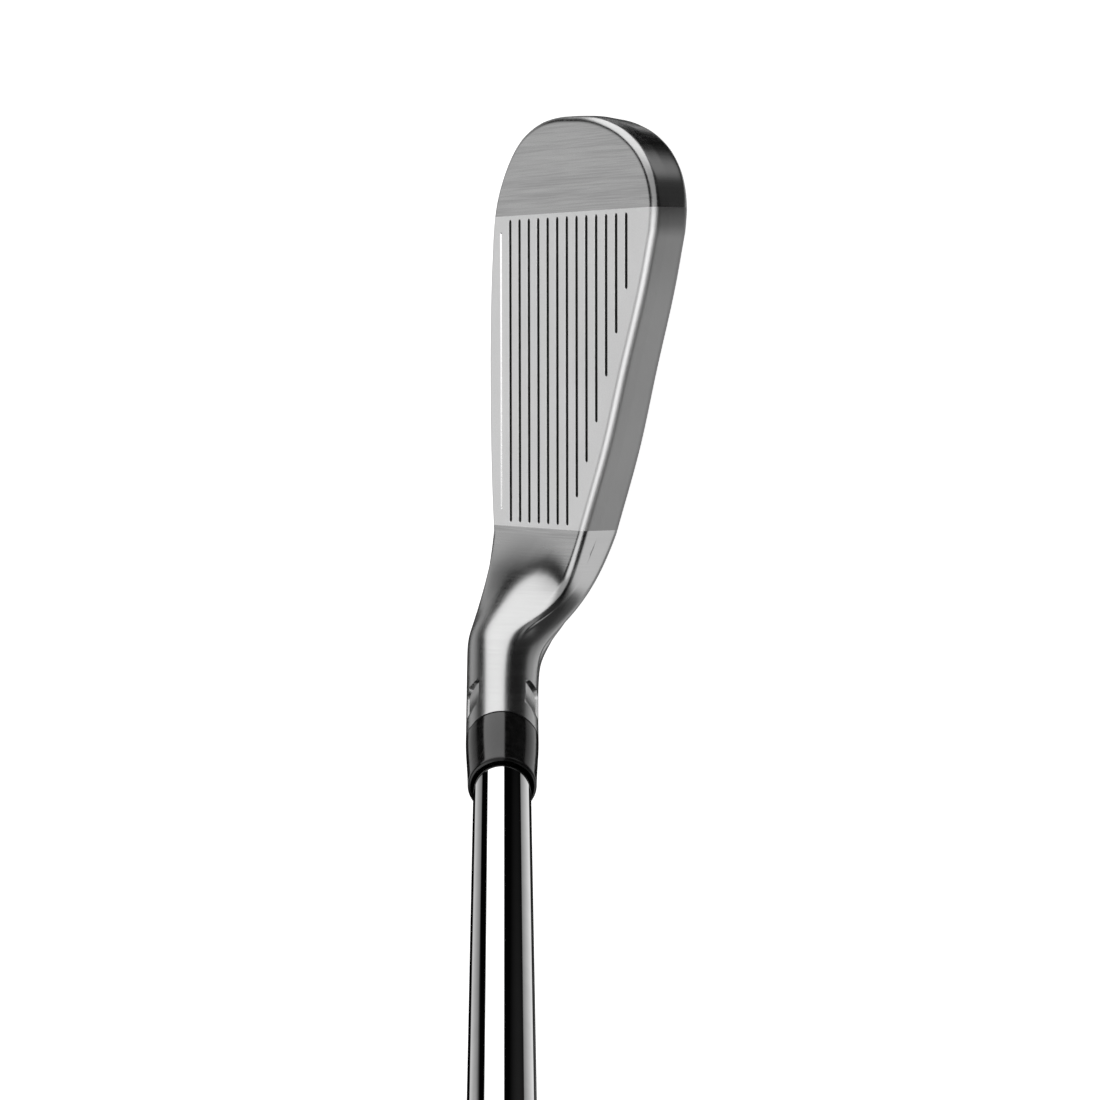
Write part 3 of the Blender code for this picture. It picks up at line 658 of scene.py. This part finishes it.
def steel(name, painted_lines):
    """Cast steel: a blasted panel across the face and top edge, with brushed toe and heel beyond
    it. painted_lines adds the paint in the bottom of the score lines."""
    made, tree, shader, place = new_material(name)
    split = node(tree, "ShaderNodeSeparateXYZ", {0: place})
    x = split.outputs["X"]
    soft = PANEL_EDGE * MM
    in_heel = ramp_between(tree, x, BLAST_HEEL_X * MM - soft, BLAST_HEEL_X * MM + soft)
    in_toe = ramp_between(tree, x, BLAST_TOE_X * MM + soft, BLAST_TOE_X * MM - soft)
    depth = dot(tree, place, -FACE_NORMAL)
    depth = maths(tree, "ADD", depth, FACE_Y * cos(LOFT) * MM)
    up = dot(tree, place, FACE_UP)
    up = maths(tree, "ADD", up, FACE_Y * sin(LOFT) * MM)
    reach = ramp_between(tree, up, *(edge * MM for edge in BLAST_RISE + BLAST_DEPTHS))
    past_panel = maths(tree, "SUBTRACT", depth, reach)
    in_front = ramp_between(tree, past_panel, 0.0, PANEL_BACK_EDGE * MM, 1.0, 0.0)
    panel = maths(tree, "MULTIPLY", maths(tree, "MULTIPLY", in_heel, in_toe), in_front)
    facing = dot(tree, node(tree, "ShaderNodeNewGeometry").outputs["Normal"], FACE_NORMAL)
    on_face = ramp_between(tree, facing, *FACE_COSINES)
    across = stretched(tree, place, BRUSH_STRETCH)
    fine = maths(tree, "MULTIPLY", noise(tree, across, FINE_MARKS, 4.0, 0.6), FINE_SHARE)
    broad = maths(tree, "MULTIPLY", noise(tree, across, BROAD_MARKS, 2.0), 1 - FINE_SHARE)
    streak = maths(tree, "ADD", fine, broad)
    grain = noise(tree, place, GRAIN_MARKS, 2.0, 0.7)
    cloud = noise(tree, place, CLOUD_MARKS, 3.0)
    brushed = blend(tree, on_face, spread(tree, streak, *CAST_GREYS),
                    spread(tree, streak, *BRUSHED_GREYS))
    # Painted shade: the blasted panel's colour is darkened where its surface turns away from the face,
    # most on the top edge
    painted_top_shade = ramp_between(tree, facing, *TOP_EDGE_SHADE_COSINES, TOP_EDGE_PAINTED_SHADE, 1.0)
    blasted = maths(tree, "MULTIPLY", spread(tree, grain, *BLASTED_GREYS), painted_top_shade)
    tone = blend(tree, panel, brushed, blasted)
    tone = maths(tree, "MULTIPLY", tone, ramp_between(tree, cloud, 0.35, 0.65, *CLOUD_GREYS))
    brushed_rough = blend(tree, on_face, spread(tree, streak, *CAST_ROUGHNESS),
                          spread(tree, streak, *BRUSHED_ROUGHNESS))
    rough = blend(tree, panel, brushed_rough, spread(tree, grain, *BLASTED_ROUGHNESS))
    relief = blend(tree, on_face, CAST_RELIEF, BRUSH_RELIEF)
    height = blend(tree, panel, maths(tree, "MULTIPLY", streak, relief),
                   maths(tree, "MULTIPLY", grain, BLAST_RELIEF))
    metallic = 1.0
    if painted_lines:
        lowest = maths(tree, "LESS_THAN", up, (LINE_FIRST + LINE_PITCH / 2) * MM)
        edge = blend(tree, lowest, PAINT_EDGE * MM, LOWEST_PAINT_EDGE * MM)
        inside = ramp_between(tree, maths(tree, "SUBTRACT", depth, edge), 0.0, 0.02 * MM)
        front = ramp_between(tree, depth, (LINE_BOTTOM + 0.05) * MM, (LINE_BOTTOM + 0.1) * MM,
                             1.0, 0.0)
        filled = maths(tree, "MULTIPLY", inside, front)
        speck = noise(tree, place, SPECK_MARKS, 3.0)
        filling = blend(tree, lowest, spread(tree, speck, *BLACK_PAINT),
                        spread(tree, speck, *BRIGHT_FILLING))
        tone = blend(tree, filled, tone, filling)
        rough = blend(tree, filled, rough, blend(tree, lowest, PAINT_ROUGHNESS, FILLING_ROUGHNESS))
        painted = maths(tree, "MULTIPLY", filled, maths(tree, "SUBTRACT", 1.0, lowest))
        metallic = maths(tree, "SUBTRACT", 1.0, painted)
    put(tree, shader.inputs["Metallic"], metallic)
    put(tree, shader.inputs["Base Color"], grey(tree, tone))
    put(tree, shader.inputs["Roughness"], rough)
    put(tree, shader.inputs["Normal"], bump(tree, height, MM))
    return made


def shiny_metal(name, greys, roughness, scale, relief, stretch=(1, 1, 1), tint=None):
    """Bare metal whose tone, roughness and fine relief follow one noise."""
    made, tree, shader, place = new_material(name, Metallic=1.0)
    mark = noise(tree, stretched(tree, place, stretch), scale, 4.0, 0.6)
    tone = spread(tree, mark, *greys)
    if tint:
        shades = {i: maths(tree, "MULTIPLY", tone, share) for i, share in enumerate(tint)}
        put(tree, shader.inputs["Base Color"], node(tree, "ShaderNodeCombineColor", shades))
    else:
        put(tree, shader.inputs["Base Color"], grey(tree, tone))
    put(tree, shader.inputs["Roughness"], spread(tree, mark, *roughness))
    put(tree, shader.inputs["Normal"], bump(tree, mark, relief * MM))
    return made


def plastic(name, colour_low, colour_high, roughness, scale, relief, **values):
    """Plastic, rubber or tape: two close colours, a roughness and a fine relief from one noise."""
    made, tree, shader, place = new_material(name, **values)
    mark = noise(tree, place, scale, 4.0, 0.65)
    share = spread(tree, mark)
    mixer = node(tree, "ShaderNodeMix", {0: share}, data_type="RGBA")
    put(tree, mixer.inputs[6], (*colour_low, 1))
    put(tree, mixer.inputs[7], (*colour_high, 1))
    put(tree, shader.inputs["Base Color"], mixer.outputs[2])
    put(tree, shader.inputs["Roughness"], spread(tree, mark, *roughness))
    put(tree, shader.inputs["Normal"], bump(tree, mark, relief * MM))
    return made


# ---- Pieces ----

BADGE_THICKNESS = 0.8
FERRULE_LIP, GRIP_LIP = 0.55, 1.0     # radii of the rounded ends
BUTT_BEND = 1.3
BUTT_CROWN = 0.5                      # the butt cap's end is domed by this much
# Moulded pattern of the grip: the spans along the shaft that carry crossed grooves, in millimetres
PATTERNED = [(702.0, 778.0), (786.0, 846.0), (854.0, 915.0)]
RINGS = (680.0, 684.5, 689.0, 922.0, 927.0)
LOZENGES = 14
LOZENGE_LENGTH = 9.0
GROOVE_DEPTH = 0.32
RING_DEPTH = 0.35
GROOVE_SHARE = 0.4                    # half width of a crossed groove, as a share of its swing
PATTERN_FADE = 1.5                    # the pattern fades in over this length
EDGE_WIDTH = 0.9                      # half width of a ring, and of the groove at a pattern's end
EDGE_INSET = 0.4


def line_ends(number):
    """Heel and toe ends of a score line. The upper ones stop short of the sloping top edge."""
    up = LINE_FIRST + LINE_PITCH * number
    if number == 0:
        return LINE_HEEL_X + LOWEST_SHORTER, LINE_TOE_X - LOWEST_SHORTER
    heel = LINE_HEEL_X
    while curve_at(TOP_EDGE, heel) - up < LINE_MARGIN:
        heel += 0.1
    return heel, LINE_TOE_X


def score_line(number):
    """Cutter for one score line: a long slot with round ends and bevelled edges."""
    heel, toe = line_ends(number)
    up = LINE_FIRST + LINE_PITCH * number
    end = LINE_END_RADIUS
    mesh = bmesh.new()
    loops = []
    angles = [pi / 2 + pi * k / 10 for k in range(11)]
    for depth, half in (LOWEST_PROFILE if number == 0 else LINE_PROFILE):
        outline = [(heel + end + half * cos(a), up + half * sin(a)) for a in angles]
        outline += [(toe - end - half * cos(a), up - half * sin(a)) for a in angles]
        loops.append([mesh.verts.new(face_point(x, u, depth)) for x, u in outline])
    count = len(outline)
    for one, two in zip(loops, loops[1:]):
        for i in range(count):
            j = (i + 1) % count
            mesh.faces.new((one[i], one[j], two[j], two[i]))
    mesh.faces.new(loops[0])
    mesh.faces.new(loops[-1][::-1])
    bmesh.ops.recalc_face_normals(mesh, faces=mesh.faces)
    return mesh


def bar_between(walls):
    """Solid between two matching loops of points."""
    mesh = bmesh.new()
    ends = [[mesh.verts.new(point) for point in wall] for wall in walls]
    mesh.faces.new(ends[0])
    mesh.faces.new(ends[1][::-1])
    count = len(ends[0])
    for i in range(count):
        j = (i + 1) % count
        mesh.faces.new((ends[0][i], ends[1][i], ends[1][j], ends[0][j]))
    bmesh.ops.recalc_face_normals(mesh, faces=mesh.faces)
    return mesh


def pocket(side):
    """Cutter for the shallow pocket on the front (1) or rear (-1) of the hosel: a slot with a round
    head end, whose floor slopes out towards the ferrule."""
    out = ACROSS_SHAFT * cos(POCKET_TURN) + Vector((0, side * sin(POCKET_TURN), 0))
    edge = SHAFT_AXIS.cross(out)
    low, high = POCKET_SPAN
    floor, outside = HOSEL_RADIUS - POCKET_DEPTH, HOSEL_RADIUS + 2
    ramp_start = high - 2
    profile = [(low - 1, floor), (ramp_start, floor), (ramp_start + POCKET_RUN_OUT, outside),
               (low - 1, outside)]
    slope = bar_between([[SHAFT_AXIS * a + edge * across + out * reach for a, reach in profile]
                         for across in (-9, 9)])
    bend, width = POCKET_CORNER, POCKET_HALF_WIDTH
    angles = [pi / 2 * k / 12 for k in range(13)]
    corner = [(low + bend - bend * cos(a), width - bend + bend * sin(a)) for a in angles]
    far = high + POCKET_RUN_OUT
    outline = [(a, -c) for a, c in corner[::-1]] + corner + [(far, width), (far, -width)]
    slot = bar_between([[SHAFT_AXIS * a + edge * c + out * reach for a, c in outline]
                        for reach in (floor - 2, outside - 0.5)])
    return carved(from_mesh(slope), ("INTERSECT", slot))


def round_bar(start, end, radius):
    mesh = bmesh.new()
    bmesh.ops.create_cone(mesh, cap_ends=True, segments=64, radius1=radius, radius2=radius,
                          depth=(end - start).length)
    turn = (end - start).to_track_quat("Z", "Y").to_matrix().to_4x4()
    mesh.transform(Matrix.Translation((start + end) / 2) @ turn)
    return mesh


def outline_prism(corners, near, far):
    return prism(rounded_outline(corners), near, far)


def build_head():
    """Body of the head with its seats, cavity, bore and pockets, and the face plate flush in it."""
    seat = carved(outline_prism(inset(CAP, -CAP_SEAM), CAP_FRONT - GAP, 40),
                  ("DIFFERENCE", head_solid(CAP_THICKNESS + GAP)))
    half = SLOT_WIDTH / 2
    well = round_bar(face_point(WEIGHT_X, WEIGHT_UP, WEIGHT_FRONT - GAP),
                     face_point(WEIGHT_X, WEIGHT_UP, 30), WEIGHT_RADIUS + GAP)
    body = carved(head_solid(),
                  ("DIFFERENCE", outline_prism(PLATE, -3, SEAT_DEPTH)),
                  ("DIFFERENCE", outline_prism(CAVITY, SEAT_DEPTH - 1, CAVITY_DEPTH)),
                  ("DIFFERENCE", seat),
                  ("DIFFERENCE", turned([(HOSEL_TOP + 2, 0), (HOSEL_TOP + 2, BORE_RADIUS),
                                         (BORE_BOTTOM, BORE_RADIUS), (BORE_BOTTOM, 0)])),
                  ("DIFFERENCE", pocket(1)),
                  ("DIFFERENCE", pocket(-1)),
                  ("DIFFERENCE", outline_prism(SLOT, SLOT_DEPTH - half, SLOT_DEPTH + half)),
                  ("DIFFERENCE", well))
    finish_piece(body, "head_shell", steel("cast_steel", False), "satin_steel", "head_body")
    lines = join([score_line(number) for number in range(LINE_COUNT)])
    plate = carved(outline_prism(PLATE, 0, FACE_THICKNESS), ("DIFFERENCE", lines))
    finish_piece(plate, "scored_face", steel("face_steel", True), "blasted_steel", "face_plate")


def build_back():
    """Rear cap set in the back of the head, and the badge on it."""
    cap = carved(head_solid(), ("INTERSECT", outline_prism(CAP, CAP_FRONT, 40)),
                 ("DIFFERENCE", head_solid(CAP_THICKNESS)))
    look = shiny_metal("cap_satin", (0.3, 0.4), (0.28, 0.38), 2600.0, 0.002, (1.0, 0.03, 0.03))
    finish_piece(cap, "back_cap", look, "cap_metal", "rear_cap")
    badge = carved(head_solid(-GAP - BADGE_THICKNESS),
                   ("INTERSECT", outline_prism(BADGE, CAP_FRONT, 40)),
                   ("DIFFERENCE", head_solid(-GAP)))
    look = plastic("badge_polymer", (0.012, 0.012, 0.014), (0.03, 0.03, 0.033), (0.3, 0.42),
                   2400.0, 0.004)
    finish_piece(badge, "back_badge", look, "badge", "cap_badge")


def build_ferrule():
    """Turned ferrule with a rounded lip and a mouth that opens round the shaft."""
    start, lip = HOSEL_TOP + GAP, FERRULE_LIP
    mouth = shaft_radius(FERRULE_END) + 0.6
    outside = arc((FERRULE_END - lip, FERRULE_RADIUS - lip), lip, 90, 0, 10)
    body = [(s, mix(HOSEL_RADIUS, FERRULE_RADIUS, ease((s - start) / (FERRULE_END - start))))
            for s in stations(FERRULE_END - lip - 0.5, start + 0.15, 0.7)]
    base = [(start, HOSEL_RADIUS - 0.15), (start, shaft_radius(start) + GAP)]
    inside = [(FERRULE_END - 1.5, shaft_radius(FERRULE_END) + GAP),
              (FERRULE_END - 0.5, mouth - 0.05), (FERRULE_END - 0.15, mouth + 0.02)]
    look = plastic("ferrule_gloss", (0.004, 0.004, 0.004), (0.009, 0.009, 0.009), (0.1, 0.16),
                   900.0, 0.0006, IOR=1.5)
    solid = from_mesh(turned(outside + body + base + inside))
    finish_piece(solid, "ferrule_ring", look, "ferrule_gloss", "ferrule")


def build_shaft():
    """Drawn steel tube, chrome plated, with its true taper and wall."""
    marks = stations(SHAFT_END, TIP, 18.0)
    marks = sorted(set(marks) | {p[0] for p in SHAFT_RADII[1:-1]}, reverse=True)
    outside = [(s, shaft_radius(s)) for s in marks]
    inside = [(s, shaft_radius(s) - SHAFT_WALL) for s in marks[::-1]]
    look = shiny_metal("chrome_plate", (0.88, 0.93), (0.02, 0.05), 350.0, 0.0008, (1, 0.3, 1))
    finish_piece(from_mesh(turned(outside + inside)), "shaft_tube", look, "shaft_chrome", "shaft")


def grip_relief(along, angle):
    """Depth pressed into the grip at a place: crossed grooves in the patterned spans, and rings."""
    depth = 0.0
    for low, high in PATTERNED:
        inside = ease((along - low) / PATTERN_FADE) * ease((high - along) / PATTERN_FADE)
        if inside:
            lean = pi * (along - low) / LOZENGE_LENGTH
            turn = angle * LOZENGES / 2
            near = min(abs(sin(lean + turn)), abs(sin(lean - turn)))
            depth = GROOVE_DEPTH * inside * (1 - ease(near / GROOVE_SHARE))
            edge = min(along - low, high - along)
            depth = max(depth, GROOVE_DEPTH * (1 - ease(abs(edge - EDGE_INSET) / EDGE_WIDTH)))
    for ring in RINGS:
        depth = max(depth, RING_DEPTH * (1 - ease(abs(along - ring) / EDGE_WIDTH)))
    return -depth


def build_grip():
    """Moulded rubber sleeve with its pattern, and the vented cap in the butt."""
    lip = GRIP_LIP
    outer = [(s, radius_at(GRIP_RADII, s))
             for s in stations(GRIP_END - lip, GRIP_START + lip, 0.75)]
    top_radius, low_radius = GRIP_RADII[-1][1] - 0.15, GRIP_RADII[0][1]
    outer = [(GRIP_END, top_radius - 0.6), (GRIP_END - 0.25, top_radius - 0.15)] + outer
    outer += arc((GRIP_START + lip, low_radius - lip), lip, 0, -90, 5)[1:]
    clearance = 2 * GAP + 0.4
    inner = [(s, shaft_radius(s) + clearance) for s in (GRIP_START, GRIP_END)]
    count = len(outer)

    def relief(number, along, angle):
        return grip_relief(along, angle) if number < count else 0.0

    rubber = plastic("grip_rubber", (0.014, 0.014, 0.014), (0.03, 0.03, 0.03), (0.6, 0.8),
                     2600.0, 0.02)
    sleeve = from_mesh(turned(outer + inner, GRIP_STEPS, relief))
    finish_piece(sleeve, "grip_sleeve", rubber, "grip_rubber", "grip")
    start, rim = GRIP_END + GAP, GRIP_RADII[-1][1]
    bend = BUTT_BEND
    groove_floor = CAP_END - BUTT_CROWN - 0.25
    dome = [(CAP_END, VENT_RADIUS + 0.35)]
    dome += [(CAP_END - BUTT_CROWN * (r / rim) ** 2, r)
             for r in stations(VENT_RADIUS + 1, 7.2, 0.6)]
    dome += [(groove_floor, 7.6), (groove_floor, 8.2)]
    dome += [(CAP_END - BUTT_CROWN * (r / rim) ** 2, r)
             for r in stations(8.6, rim - bend - 0.3, 0.6)]
    dome += arc((CAP_END - BUTT_CROWN - bend, rim - bend), bend, 80, 0, 8)
    sides = [(start + 0.3, rim), (start, rim - 0.3), (start, VENT_RADIUS),
             (CAP_END - 0.4, VENT_RADIUS)]
    butt = from_mesh(turned(dome + sides, GRIP_STEPS))
    finish_piece(butt, "butt_cap", rubber, "grip_rubber", "grip_end_cap")


def dress_hidden_pieces():
    """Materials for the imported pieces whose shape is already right."""
    looks = {
        "damping_bar": plastic("damper_rubber", (0.03, 0.03, 0.03), (0.06, 0.06, 0.06), (0.6, 0.8),
                               1500.0, 0.02),
        "sole_slot_insert": plastic("slot_polymer", (0.015, 0.015, 0.016), (0.03, 0.03, 0.03),
                                    (0.4, 0.55), 2500.0, 0.01),
        "toe_weight": shiny_metal("tungsten", (0.2, 0.28), (0.4, 0.5), 2500.0, 0.005),
        "tip_weight": shiny_metal("brass", (0.6, 0.72), (0.3, 0.4), 2500.0, 0.003,
                                  tint=(1, 0.72, 0.34)),
        "grip_tape": plastic("paper_tape", (0.7, 0.66, 0.55), (0.8, 0.77, 0.68), (0.75, 0.9),
                             1800.0, 0.02),
    }
    for name, look in looks.items():
        for place in frame["nodes"][name].material_slots:
            place.material = look


# ---- Studio ----

# The strip lights stand parallel to the shaft, so the studio's brightness is told by the angle
# round it: degrees from the toe side, minus towards the target, then brightness.
DARK = 0.001
STRIPS = [(-180, DARK), (-134, DARK), (-131, 0.62), (-89, 0.2), (-86, DARK), (-60, DARK),
          (-57, 1.6), (6, 1.6), (8.5, DARK), (78, DARK), (80, 0.24), (126, 0.76), (131, 0.8),
          (133, DARK), (180, DARK)]
# They dim towards the grip's end: cosines from the shaft axis, and the brightness left at each
HIGH_SHADE = (-0.5, 0.3, 1.0, 0.36)
# Extra soft lamps: direction, cosines at which each starts and is full, and brightness
LAMPS = [((-0.40, 0.62, 0.68), 0.80, 0.95, 1.4), ((0.0, 0.866, -0.5), 0.84, 0.97, 0.81),
         ((0.86, -0.5, 0.0), 0.9, 0.99, 0.36), ((0.5, -0.76, 0.1), 0.6, 0.95, 0.05),
         ((-0.66, -0.72, 0.2), 0.87, 0.98, 1.05), ((-0.6, -0.35, -0.72), 0.8, 0.97, 0.35)]
CAMERA_PLACE = Vector((219.80, 8.00, 728.84))       # millimetres, in the row's frame
CAMERA_RIGHT = Vector((-0.00179, -0.99995, 0.01031))
CAMERA_UP = Vector((0.99880, -0.00230, -0.04900))
CAMERA_LENS, CAMERA_SENSOR = 126.87, 36.0
FLOOR_HALF, FLOOR_DROP = 12000.0, 0.4       # millimetres: half its width, and below the sole
FLOOR_GREY, FLOOR_GLOW, FLOOR_ROUGHNESS = 0.8, 0.9, 0.9


def build_studio():
    """Light that depends on direction alone: the camera sees plain white, and metal the lamps."""
    world = bpy.data.worlds.new("studio")
    bpy.context.scene.world = world
    world.use_nodes = True
    tree = world.node_tree
    back = tree.nodes["Background"]
    way = node(tree, "ShaderNodeTexCoord").outputs["Generated"]

    angle = maths(tree, "ARCTAN2", dot(tree, way, (0, -1, 0)), dot(tree, way, ACROSS_SHAFT))
    share = node(tree, "ShaderNodeMapRange", {"Value": angle, "From Min": -pi, "From Max": pi})
    ramp = node(tree, "ShaderNodeValToRGB", {0: share})
    stops = ramp.color_ramp.elements
    while len(stops) > 1:
        stops.remove(stops[-1])
    for number, (degrees, bright) in enumerate(STRIPS):
        spot = (degrees + 180) / 360
        stop = stops[0] if number == 0 else stops.new(spot)
        stop.position = spot
        stop.color = (bright, bright, bright, 1)
    light = node(tree, "ShaderNodeSeparateColor", {0: ramp}).outputs[0]
    shade = ramp_between(tree, dot(tree, way, SHAFT_AXIS), *HIGH_SHADE)
    light = maths(tree, "MULTIPLY", light, shade)
    for direction, start, full, bright in LAMPS:
        towards = dot(tree, way, Vector(direction).normalized())
        light = maths(tree, "MAXIMUM", light, ramp_between(tree, towards, start, full, 0.0, bright))
    seen = node(tree, "ShaderNodeLightPath").outputs["Is Camera Ray"]
    put(tree, back.inputs["Color"], grey(tree, blend(tree, seen, light, 1.0)))


def build_floor():
    """Plain pale floor just under the sole. Metal mirrors the studio, not the floor."""
    mesh = bmesh.new()
    bmesh.ops.create_grid(mesh, x_segments=1, y_segments=1, size=FLOOR_HALF)
    floor = from_mesh(mesh)
    floor.name = "floor"
    floor.location.z = cad_low[2] - FLOOR_DROP * MM
    floor.visible_glossy = False
    made = bpy.data.materials.new("pale_floor")
    made.use_nodes = True
    shader = made.node_tree.nodes["Principled BSDF"]
    shader.inputs["Base Color"].default_value = (FLOOR_GREY, FLOOR_GREY, FLOOR_GREY, 1)
    shader.inputs["Roughness"].default_value = FLOOR_ROUGHNESS
    shader.inputs["Emission Color"].default_value = (1, 1, 1, 1)
    shader.inputs["Emission Strength"].default_value = FLOOR_GLOW
    floor.data.materials.append(made)


def build_camera():
    data = bpy.data.cameras.new("camera")
    data.lens, data.sensor_width = CAMERA_LENS, CAMERA_SENSOR
    data.clip_start, data.clip_end = 0.01, 100.0
    item = bpy.data.objects.new("camera", data)
    back = CAMERA_RIGHT.cross(CAMERA_UP).normalized()
    right = CAMERA_UP.cross(back).normalized()
    turn = Matrix((right, back.cross(right), back)).transposed().to_4x4()
    item.matrix_world = Matrix.Translation(CAMERA_PLACE * MM) @ turn
    bpy.context.scene.collection.objects.link(item)
    bpy.context.scene.camera = item


build_camera()
build_studio()
build_floor()
build_head()
build_back()
build_ferrule()
build_shaft()
build_grip()
dress_hidden_pieces()
hide_from_shaft(["head_shell", "scored_face", "back_cap", "back_badge", "damping_bar", "toe_weight",
                 "sole_slot_insert"])
bpy.context.scene.view_settings.view_transform = "Standard"
